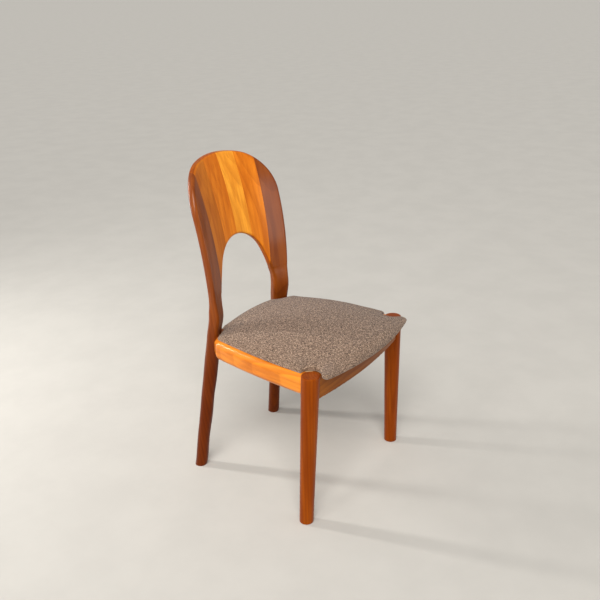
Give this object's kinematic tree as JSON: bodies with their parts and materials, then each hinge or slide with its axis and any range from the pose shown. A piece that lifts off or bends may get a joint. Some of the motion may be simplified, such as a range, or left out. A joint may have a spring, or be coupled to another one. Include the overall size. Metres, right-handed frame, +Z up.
{
  "type": "dining chair",
  "caption": "Dining chair with a hollowed arch back of glued wood staves, tapered round legs, bowed seat rails and a crowned upholstered seat pad notched round the front legs.",
  "frame": {"origin": "on the floor, at the middle of the chair's bounding box in X and Y", "axes": "+Z up, the sitter faces -Y, +X to the sitter's left; X = 0 is the plane of symmetry"},
  "size_m": [0.5394, 0.582, 0.95],
  "materials": {
    "dark_stave": "teak, dark red-brown, oiled and polished",
    "brown_stave": "teak, brown, oiled and polished",
    "light_stave": "teak, light yellow-orange, oiled and polished",
    "frame_wood": "teak, orange-brown, oiled and polished",
    "block_wood": "beech, planed",
    "dowel_wood": "beech, fluted dowel stock",
    "screw_steel": "zinc-plated steel",
    "plywood": "birch plywood",
    "foam": "seat foam",
    "tweed": "woven wool, taupe melange",
    "staple_wire": "galvanised wire"
  },
  "bodies": {
    "root": {"front_leg_left": "frame_wood", "front_leg_right": "frame_wood", "rear_leg_left": "dark_stave", "rear_leg_right": "dark_stave", "back_stave_1": "brown_stave", "back_stave_2": "brown_stave", "back_stave_3": "light_stave", "back_stave_4": "brown_stave", "side_rail_left": "frame_wood", "side_rail_right": "frame_wood", "front_rail": "frame_wood", "rear_rail": "frame_wood", "corner_block_front_left": "block_wood", "corner_block_front_right": "block_wood", "corner_block_rear_left": "block_wood", "corner_block_rear_right": "block_wood", "front_dowels": "dowel_wood", "rear_dowels": "dowel_wood", "block_screws": "screw_steel", "seat_screws": "screw_steel", "seat_board": "plywood", "seat_foam": "foam", "seat_cover": "tweed", "cover_staples": "staple_wire"}
  },
  "joints": []
}
